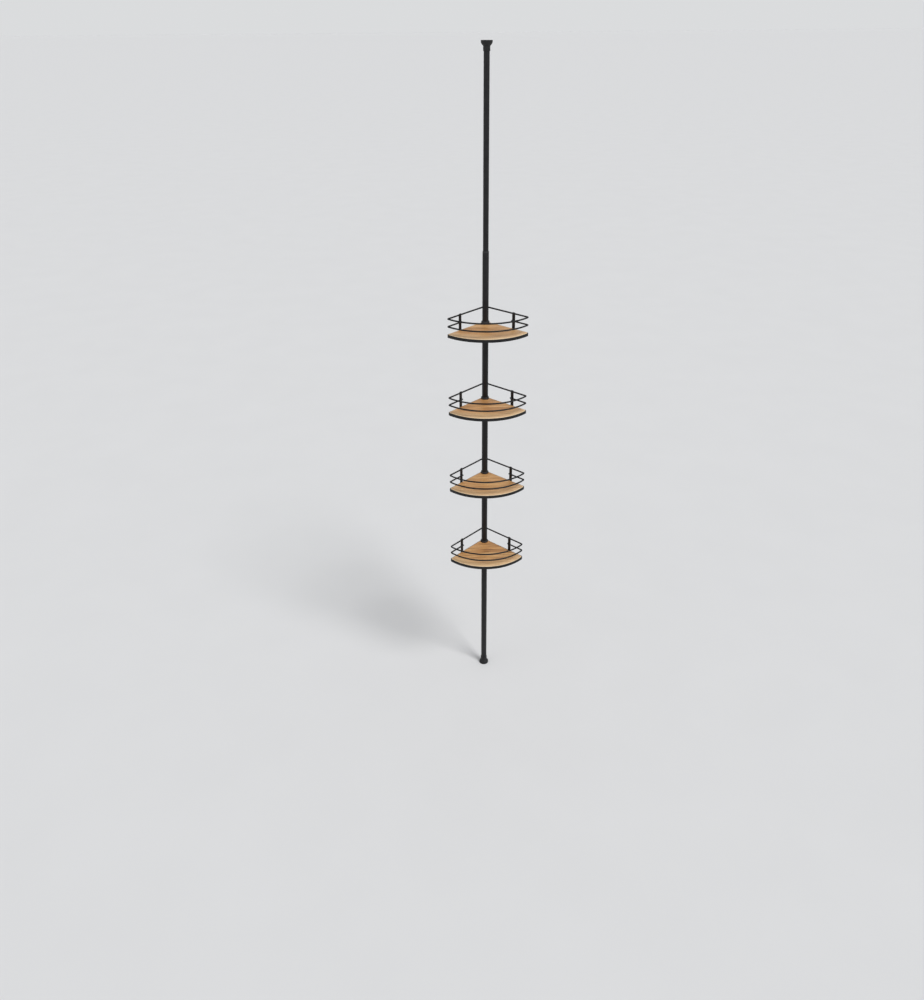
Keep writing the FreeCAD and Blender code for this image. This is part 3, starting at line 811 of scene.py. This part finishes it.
def make_uprights(shelf):
    """Two flat straps welded to the rim's wall sides and to both wires."""
    node = f"rail_uprights_{shelf}"
    low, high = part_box(node)
    middle, half, height = upright_middle(shelf), UPRIGHT_WIDTH / 2, high.z - low.z

    def outline_at(inset):
        bottom, top = inset, height - inset
        corner = UPRIGHT_CORNER - inset
        return rounded([
            (inset - half, bottom, UPRIGHT_FOOT), (half - inset, bottom, UPRIGHT_FOOT),
            (half - inset, top, corner), (inset - half, top, corner),
        ], steps=UPRIGHT_CORNER_STEPS)

    shells = []
    for side in (-1, 1):
        def place(along, rise, depth):
            spot = OUTWARDS * (PLAN_SIDE + depth) + ALONG * (middle + along)
            return (side * spot.x, spot.y, low.z + rise)

        shells.append(plate(outline_at, RIM_THICKNESS, UPRIGHT_EDGE, place))
        rim_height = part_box(f"shelf_rim_{shelf}")[1].z - low.z
        for edge in (-half - SIDE_BEAD_REACH, half + SIDE_BEAD_REACH):
            start = place(edge, BEAD_SET_BACK, SIDE_BEAD_DEPTH)
            end = place(edge, rim_height - BEAD_SET_BACK, SIDE_BEAD_DEPTH)
            shells.append(straight_bead(start, end, BEAD))
        for rail in (f"top_rail_{shelf}", f"lower_rail_{shelf}"):
            rail_low, rail_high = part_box(rail)
            wire = (rail_high.z - rail_low.z) / 2
            for offset in (-RAIL_BEAD_RISE, RAIL_BEAD_RISE):
                rise = rail_low.z + wire + offset * wire - low.z
                start = place(-RAIL_BEAD_REACH * half, rise, RAIL_BEAD_DEPTH)
                end = place(RAIL_BEAD_REACH * half, rise, RAIL_BEAD_DEPTH)
                shells.append(straight_bead(start, end, RAIL_BEAD))
    give(add_mesh(node + "_straps", *shells), f"shelf_{shelf}", "shelf_coating", shelf_coating,
         node)


def make_board(shelf):
    """The wooden board: an eased outline with a round-ended notch for the hub at its back."""
    node = f"shelf_board_{shelf}"
    low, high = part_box(node)
    thickness = high.z - low.z
    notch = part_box(f"shelf_hub_{shelf}")[1].x + NOTCH_GAP
    edge = RIM_THICKNESS + BOARD_GAP
    turns = [math.pi / 2 * step / BOARD_EDGE_STEPS for step in range(BOARD_EDGE_STEPS + 1)]
    levels = [(BOARD_EASING * (1 - math.sin(turn)), -BOARD_EASING * (1 - math.cos(turn)))
              for turn in turns]
    levels += [(BOARD_LOWER_EASING * (1 - math.sin(turn)),
                BOARD_LOWER_EASING * (1 - math.cos(turn)) - thickness)
               for turn in reversed(turns)]
    rings = []
    for inset, depth in levels:
        side = PLAN_SIDE - edge - inset
        stop = notch / HALF_ROOT - side
        path = open_outline(edge + inset, stop)
        mouth = [Vector((notch, 0))] + arc((0, 0), notch, 0, -math.pi, NOTCH_STEPS)[1:]
        points = [point for point, way in path] + mouth
        rings.append([(point.x, point.y, high.z + depth) for point in points])
    shell = cap(stitch(rings), len(rings[0]))
    give(add_mesh(node + "_plank", shell), f"shelf_{shelf}", "board_wood", wood, node)


def make_support_bars(shelf):
    """Two flat bars under the board, welded to the hub and to the front of the rim."""
    node = f"support_bars_{shelf}"
    low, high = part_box(node)
    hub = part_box(f"shelf_hub_{shelf}")[1].x
    rim = PLAN_FRONT - RIM_THICKNESS
    half = BAR_WIDTH / 2

    def outline_at(inset):
        near, far, wide = hub + inset, rim - inset, half - inset
        inner, outer = math.asin(wide / near), math.asin(wide / far)
        near_end = arc((0, 0), near, inner, -inner, BAR_NEAR_STEPS)
        return near_end + arc((0, 0), far, -outer, outer, BAR_FAR_STEPS)

    shells = []
    for side in (-1, 1):
        def place(reach, across, rise):
            angle = side * BAR_ANGLE
            x = reach * math.sin(angle) + across * math.cos(angle)
            y = -reach * math.cos(angle) + across * math.sin(angle)
            return (x, y, low.z + rise)

        shells.append(plate(outline_at, high.z - low.z, BAR_EDGE, place))
        start = place(rim - BAR_BEAD_SET_BACK, -BAR_BEAD_REACH * half, 0)
        end = place(rim - BAR_BEAD_SET_BACK, BAR_BEAD_REACH * half, 0)
        shells.append(straight_bead(start, end, BEAD))

        def round_hub(share):
            turn = (2 * share - 1) * HUB_BEAD_TURN
            reach = hub + HUB_BEAD_GAP
            return Vector(place(reach * math.cos(turn), reach * math.sin(turn), HUB_BEAD_DEPTH))

        shells.append(bead(round_hub, BEAD))
    give(add_mesh(node + "_flats", *shells), f"shelf_{shelf}", "shelf_coating", shelf_coating, node)


def make_spring():
    """A compression spring with closed ends, between the pole and the slider."""
    node = "tension_spring"
    low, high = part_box(node)
    coil = high.x - SPRING_WIRE_RADIUS
    count = SPRING_TURNS * TURN_STEPS

    def opening(turn):
        """0 in the closed end turns and 1 in the open ones."""
        share = (min(turn, SPRING_TURNS - turn) - CLOSED_TURNS) / CLOSING_TURNS
        share = min(max(share, 0), 1)
        return share * share * (3 - 2 * share)

    openings = [opening((step + 0.5) / TURN_STEPS) for step in range(count)]
    span = high.z - low.z - 2 * (SPRING_PLAY + SPRING_WIRE_RADIUS)
    open_rise = (span - CLOSED_PITCH * SPRING_TURNS) / sum(openings)
    height = low.z + SPRING_PLAY + SPRING_WIRE_RADIUS
    points = []
    for step in range(count + 1):
        angle = 2 * math.pi * step / TURN_STEPS
        points.append((coil * math.cos(angle), coil * math.sin(angle), height))
        if step < count:
            height += CLOSED_PITCH / TURN_STEPS + open_rise * openings[step]
    shell = round_run(points, [SPRING_WIRE_RADIUS] * len(points), SPRING_STEPS)
    piece = add_mesh(node + "_coil", shell)
    piece.data.materials.append(spring_steel)
    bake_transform(piece)
    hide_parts(node)


for tube in ("lower_tube", "middle_tube", "upper_tube"):
    make_tube(tube, "pole")
make_tube("telescopic_tube", "telescopic_section")
make_foot("floor_foot", "pole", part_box("lower_tube")[1].x, upside_down=False)
make_foot("ceiling_foot", "telescopic_section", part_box("telescopic_tube")[1].x, upside_down=True)
make_guide_bush()
for shelf in SHELVES:
    make_wedge_sleeve(shelf)
    make_hub(shelf)
    make_ring(shelf)
    make_board(shelf)
    make_rim(shelf)
    make_support_bars(shelf)
    make_top_rail(shelf)
    make_lower_rail(shelf)
    make_uprights(shelf)
    keep(f"board_screws_{shelf}", screw_steel)
for node in ("foot_plug", "spring_seat", "telescopic_plug", "ceiling_plug"):
    keep(node, plastic)
for node in ("lower_joiner", "upper_joiner"):
    keep(node, joiner_steel)
make_spring()


# ---------------------------------------------------------------- stage, light and camera

# In metres, with the lens and its sensor in millimetres
FLOOR_REACH = 300
KEY_WAY = (-0.62, 0.72, -1.1)
KEY_SOFTNESS = math.radians(24)
KEY_STRENGTH = 2.0
FILL_WAY = (2.8, 1.8, -0.9)
FILL_SOFTNESS = math.radians(42)
FILL_STRENGTH = 0.33
CAMERA_PLACE = (-0.2268, -2.9445, 2.4451)
CAMERA_YAW = math.radians(2.743)
CAMERA_PITCH = math.radians(26.017)
CAMERA_ROLL = math.radians(-0.45)
CAMERA_LENS = 31.438
CAMERA_SENSOR = 36
CAMERA_SHIFT = -0.05


def make_floor():
    """A plain pale floor, far wider than any view."""
    signs = ((-1, -1), (1, -1), (1, 1), (-1, 1))
    corners = [(x * FLOOR_REACH, y * FLOOR_REACH, 0) for x, y in signs]
    floor = add_mesh("studio_floor", (corners, [(0, 1, 2, 3)]))
    material, tree, shader = new_material("studio_floor")
    mottle = noise(tree, own_place(tree), 3, detail=3)
    colour = mix(tree, mottle, FLOOR_DARK, FLOOR_LIGHT)
    tree.links.new(colour, shader.inputs["Base Color"])
    shader.inputs["Roughness"].default_value = 0.9
    shader.inputs["Specular IOR Level"].default_value = 0.2
    floor.data.materials.append(material)


def make_sun(name, direction, softness, strength):
    """A soft studio light that shines in one direction."""
    lamp = bpy.data.lights.new(name, "SUN")
    lamp.angle = softness
    lamp.energy = strength
    light = bpy.data.objects.new(name, lamp)
    light.rotation_mode = "QUATERNION"
    light.rotation_quaternion = Vector(direction).to_track_quat("-Z", "Y")
    bpy.context.scene.collection.objects.link(light)


def make_world():
    """Pale light from all sides, dimmer from above."""
    world = bpy.data.worlds.new("studio")
    world.use_nodes = True
    tree = world.node_tree
    direction = add_node(tree, "ShaderNodeTexCoord").outputs["Generated"]
    height = add_node(tree, "ShaderNodeSeparateXYZ", {0: direction}).outputs[2]
    colour = mix(tree, remap(tree, height, 0.02, 0.35), SKY_LOW, SKY_HIGH)
    tree.links.new(colour, tree.nodes["Background"].inputs["Color"])
    bpy.context.scene.world = world


def make_camera():
    """Above and in front of the pole, looking down at it."""
    yaw, pitch, roll = CAMERA_YAW, CAMERA_PITCH, CAMERA_ROLL
    level = Vector((math.cos(yaw), -math.sin(yaw), 0))
    onwards = Vector((math.sin(yaw), math.cos(yaw), 0))
    ahead = onwards * math.cos(pitch) - Vector((0, 0, math.sin(pitch)))
    upper = level.cross(ahead)
    right = level * math.cos(roll) + upper * math.sin(roll)
    up = upper * math.cos(roll) - level * math.sin(roll)
    lens = bpy.data.cameras.new("camera")
    lens.lens = CAMERA_LENS
    lens.sensor_width = CAMERA_SENSOR
    lens.shift_y = CAMERA_SHIFT
    camera = bpy.data.objects.new("camera", lens)
    turn = Matrix((right, up, -ahead)).transposed()
    camera.matrix_world = Matrix.Translation(CAMERA_PLACE) @ turn.to_4x4()
    bpy.context.scene.collection.objects.link(camera)
    bpy.context.scene.camera = camera


make_floor()
make_world()
make_sun("key", KEY_WAY, KEY_SOFTNESS, KEY_STRENGTH)
make_sun("fill", FILL_WAY, FILL_SOFTNESS, FILL_STRENGTH)
make_camera()
bpy.context.scene.view_settings.view_transform = "Standard"
